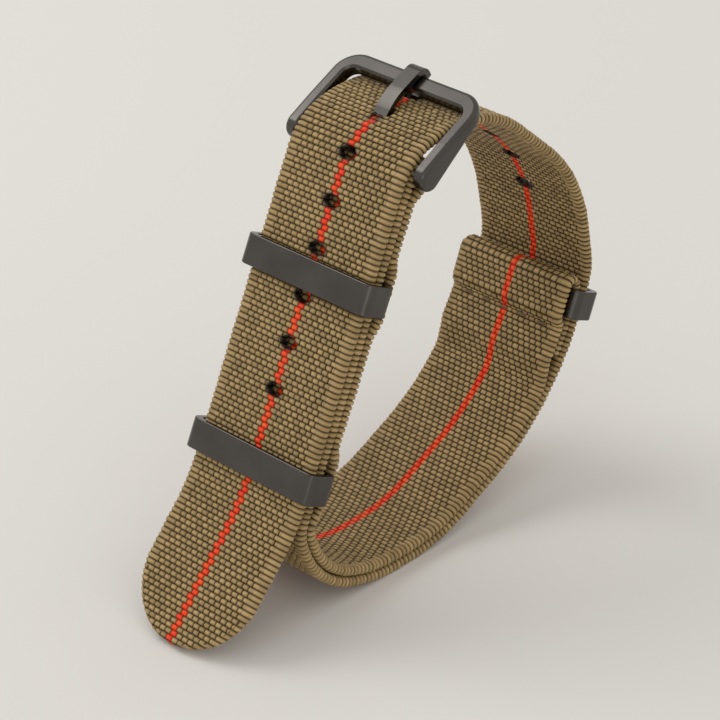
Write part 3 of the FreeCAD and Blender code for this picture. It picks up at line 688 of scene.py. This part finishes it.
def metal_material(name, dark, light, roughness, grain):
    material, tree, shader = new_material(name)
    g = Graph(tree)
    cloud = g.noise(220.0, 4.0)
    g.put(shader.inputs["Base Color"], g.mix(cloud, dark, light))
    # a small grain stretches the noise into brush lines across the strap, over fine pits
    coords = tree.nodes.new("ShaderNodeTexCoord").outputs["Object"]
    mapping = tree.nodes.new("ShaderNodeMapping")
    g.put(mapping.inputs["Vector"], coords)
    mapping.inputs["Scale"].default_value = (grain, 1.0, 1.0)
    lines = g.noise(5200.0, 2.0, mapping.outputs[0])
    pits = g.noise(9000.0, 1.0)
    rough = g.math("ADD", roughness - 0.06, g.math("MULTIPLY", lines, 0.12))
    g.put(shader.inputs["Roughness"], rough)
    height = g.math("ADD", g.math("MULTIPLY", lines, 0.6), g.math("MULTIPLY", pits, 0.4))
    g.put(shader.inputs["Normal"], g.bump(height, 0.000004, 0.4))
    shader.inputs["Metallic"].default_value = 1.0
    return material


def thread_material():
    material, tree, shader = new_material("sewing_thread")
    g = Graph(tree)
    tone = g.noise(1500.0, 2.0)
    g.put(shader.inputs["Base Color"], g.mix(tone, linear(84, 66, 40), linear(132, 108, 70)))
    g.put(shader.inputs["Normal"], g.bump(g.noise(5000.0, 2.0), 0.00004, 0.6))
    shader.inputs["Roughness"].default_value = 0.6
    shader.inputs["Sheen Weight"].default_value = 0.15
    return material


WEBBING = webbing_material()
GUNMETAL = metal_material("gunmetal", linear(74, 71, 68), linear(96, 92, 88), 0.24, 0.1)
BRIGHT = metal_material("turned_steel", linear(150, 149, 147), linear(176, 175, 172), 0.3, 1.0)
THREAD = thread_material()


def paint(nodes, material):
    for node in nodes:
        slots = bpy.data.objects[node].data.materials
        slots.clear()
        slots.append(material)


paint(("upper_keeper", "lower_keeper", "end_ring", "buckle_frame", "buckle_tang"), GUNMETAL)
paint(("spring_bar_tube", "spring_bar_left_pin", "spring_bar_right_pin", "spring_bar_spring"), BRIGHT)


# The two lengths of webbing

STITCHES = 5
STITCH_STEP = 3.4
SPOTS = [(number - (STITCHES - 1) / 2) * STITCH_STEP for number in range(STITCHES)]
main_line = main_route()
short_line = short_route()
LEAD = main_line.length - TIP
tang_low, tang_high = node_box("buckle_tang")
TANG_HALF = (tang_high[0] - tang_low[0]) / 2
# the tang comes up through the tail here, along the tilted frame from the spring bar and above it
FRAME_WAY = turned(FRAME_TILT)
CROSSING_ALONG = 4.0
CROSSING_UP = 2.25
CROSSING = BAR + FRAME_WAY * CROSSING_ALONG + left_of(FRAME_WAY) * CROSSING_UP
TANG_HOLE = LEAD + nearest_station(LOOP, CROSSING, TIP / 2)
# it leans, so its slot lies further up on the outer face than on the wrist side
SLOT_OUTSIDE = -1.1
SLOT_INSIDE = 1.0
SLOT_HALF = 0.95
# the room beside the tang in its slot and in the fold, and how far the fold's slot runs past the fold
TANG_ROOM = 0.12
FOLD_ROOM = 0.15
FOLD_PAST = 0.2


def main_holes():
    holes = []
    for number in range(-HOLES_EACH_WAY, HOLES_EACH_WAY + 1):
        if number != 0:
            station = TANG_HOLE + number * HOLE_PITCH
            holes.append(Hole(station, station, HOLE_HALF_LENGTH, HOLE_HALF_WIDTH))
    holes.append(Hole(
        TANG_HOLE + SLOT_OUTSIDE, TANG_HOLE + SLOT_INSIDE, SLOT_HALF, TANG_HALF + TANG_ROOM, True))
    middle = LEAD - math.pi * FOLD_RADIUS / 2
    length = math.pi * FOLD_RADIUS / 2 + FOLD_PAST
    holes.append(Hole(middle, middle, length, TANG_HALF + FOLD_ROOM, True))
    return holes


# stations of the sewn rows down the front, each with its node and its thread's name
FRONT_ROWS = [
    ("buckle_fold_stitches", "buckle_fold_thread", 8.4),
    ("upper_pocket_stitches", "upper_pocket_thread", 25.0),
    ("lower_pocket_stitches", "lower_pocket_thread", 34.9),
    ("short_strap_stitches", "short_strap_thread", 49.7),
]

main_piece = webbing(
    "main_webbing", main_line, WEBBING, holes=main_holes(),
    stitches=[(LEAD + station, SPOTS) for _, _, station in FRONT_ROWS[:3]], tip=True)
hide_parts("main_strap")
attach(main_piece, "strap")

stitch_line = nearest_station(short_line, LOOP.beside(np.array([RING - BAND]), np.array([2 * CLOSE]))[0])
ring_line = nearest_station(short_line, (ring_low[1:] + ring_high[1:]) / 2)
short_piece = webbing(
    "short_webbing", short_line, WEBBING, stitches=[(stitch_line, SPOTS)],
    pressed=[(-1.0, POCKET + 2.0), (ring_line - 5.5, ring_line + 10.0)])
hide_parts("short_strap")
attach(short_piece, "strap")


# The sewing: twisted thread, one short bar on each face for every stitch

STITCH_LENGTH = 1.5
THREAD_RADIUS = 0.17
THREAD_DIP = 0.16
THREAD_GROOVE = 0.16
THREAD_GAP = 0.02


def thread_bar(centre, normal, length, radius):
    # a bar along X that dips into the webbing at both ends
    count, sides, twist = 20, 10, 3.0
    share = np.linspace(-1, 1, count)
    lift = (1 - np.abs(share) ** 3) * THREAD_DIP - THREAD_DIP
    middle = np.stack([share * length / 2, np.zeros(count), np.zeros(count)], 1)
    middle[:, 1:] += normal * lift[:, None]
    turn = np.linspace(0, 2 * math.pi, sides, endpoint=False)[None, :]
    groove = 1 + THREAD_GROOVE * np.cos(2 * (turn + share[:, None] * twist))
    size = radius * groove * np.sqrt(np.clip(1.02 - share[:, None] ** 8, 0, 1))
    along = np.array([normal[1], -normal[0]])
    ring = middle[:, None, :] + np.zeros((count, sides, 3))
    ring[..., 1:] += size[..., None] * (np.cos(turn)[..., None] * normal + np.sin(turn)[..., None] * along)
    points = ring.reshape(-1, 3) + centre
    index = np.arange(count * sides).reshape(count, sides)
    after = np.roll(index, -1, 1)
    faces = np.stack([index[:-1], after[:-1], after[1:], index[1:]], -1).reshape(-1, 4)
    return points, faces


def thread_row(node, name, station, shift):
    points, faces, used = [], [], 0
    place = LOOP.beside(np.array([station]), np.array([shift]))[0]
    normal = left_of(LOOP.along(np.array([station])))[0]
    reach = (CLOSE + THICK) / 2 + THREAD_GAP
    for spot in SPOTS:
        for side in (-1, 1):
            centre = np.array([spot, *(place + normal * reach * side)])
            new_points, new_faces = thread_bar(centre, normal * side, STITCH_LENGTH, THREAD_RADIUS)
            points.append(new_points)
            faces.append(new_faces + used)
            used += len(new_points)
    piece = add_mesh(name, np.concatenate(points), np.concatenate(faces), {}, THREAD)
    tidy(piece)
    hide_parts(node)
    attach(piece, "strap")


for node, name, station in FRONT_ROWS:
    thread_row(node, name, station, CLOSE / 2)
thread_row("ring_fold_stitches", "ring_fold_thread", RING - BAND, CLOSE * 1.5)


# The stage, the lights and the camera

def stage():
    material, _, shader = new_material("pale_floor")
    shader.inputs["Base Color"].default_value = linear(229, 226, 221)
    shader.inputs["Roughness"].default_value = 0.9
    mesh = bpy.data.meshes.new("floor")
    far = 3.0
    mesh.from_pydata([(-far, -far, 0), (far, -far, 0), (far, far, 0), (-far, far, 0)], [], [(0, 1, 2, 3)])
    mesh.materials.append(material)
    floor = bpy.data.objects.new("floor", mesh)
    bpy.context.scene.collection.objects.link(floor)


def area_light(name, place, target, width, power):
    light = bpy.data.lights.new(name, "AREA")
    light.shape = "DISK"
    light.size = width
    light.energy = power
    thing = bpy.data.objects.new(name, light)
    thing.location = place
    way = Vector(target) - Vector(place)
    thing.rotation_euler = way.to_track_quat("-Z", "Y").to_euler()
    bpy.context.scene.collection.objects.link(thing)


def add_lights():
    world = bpy.data.worlds.new("studio")
    bpy.context.scene.world = world
    world.use_nodes = True
    background = world.node_tree.nodes["Background"]
    background.inputs["Color"].default_value = (1.0, 0.99, 0.97, 1.0)
    background.inputs["Strength"].default_value = 0.75
    middle = (0, 0, 0.035)
    area_light("key", (-0.45, -0.15, 0.6), middle, 0.45, 1.3)
    area_light("front", (0.5, -0.65, 0.35), middle, 0.5, 0.4)


def add_camera():
    camera = bpy.data.cameras.new("camera")
    camera.lens = 140.0
    camera.sensor_width = 36.0
    camera.clip_start = 0.01
    thing = bpy.data.objects.new("camera", camera)
    azimuth = math.radians(43.25)
    elevation = math.radians(30.02)
    way = Vector((
        -math.sin(azimuth) * math.cos(elevation), math.cos(azimuth) * math.cos(elevation),
        -math.sin(elevation)))
    thing.location = (0.22459, -0.23904, 0.2176)
    thing.rotation_euler = way.to_track_quat("-Z", "Y").to_euler()
    bpy.context.scene.collection.objects.link(thing)
    bpy.context.scene.camera = thing


stage()
add_lights()
add_camera()
bpy.context.scene.view_settings.view_transform = "Standard"
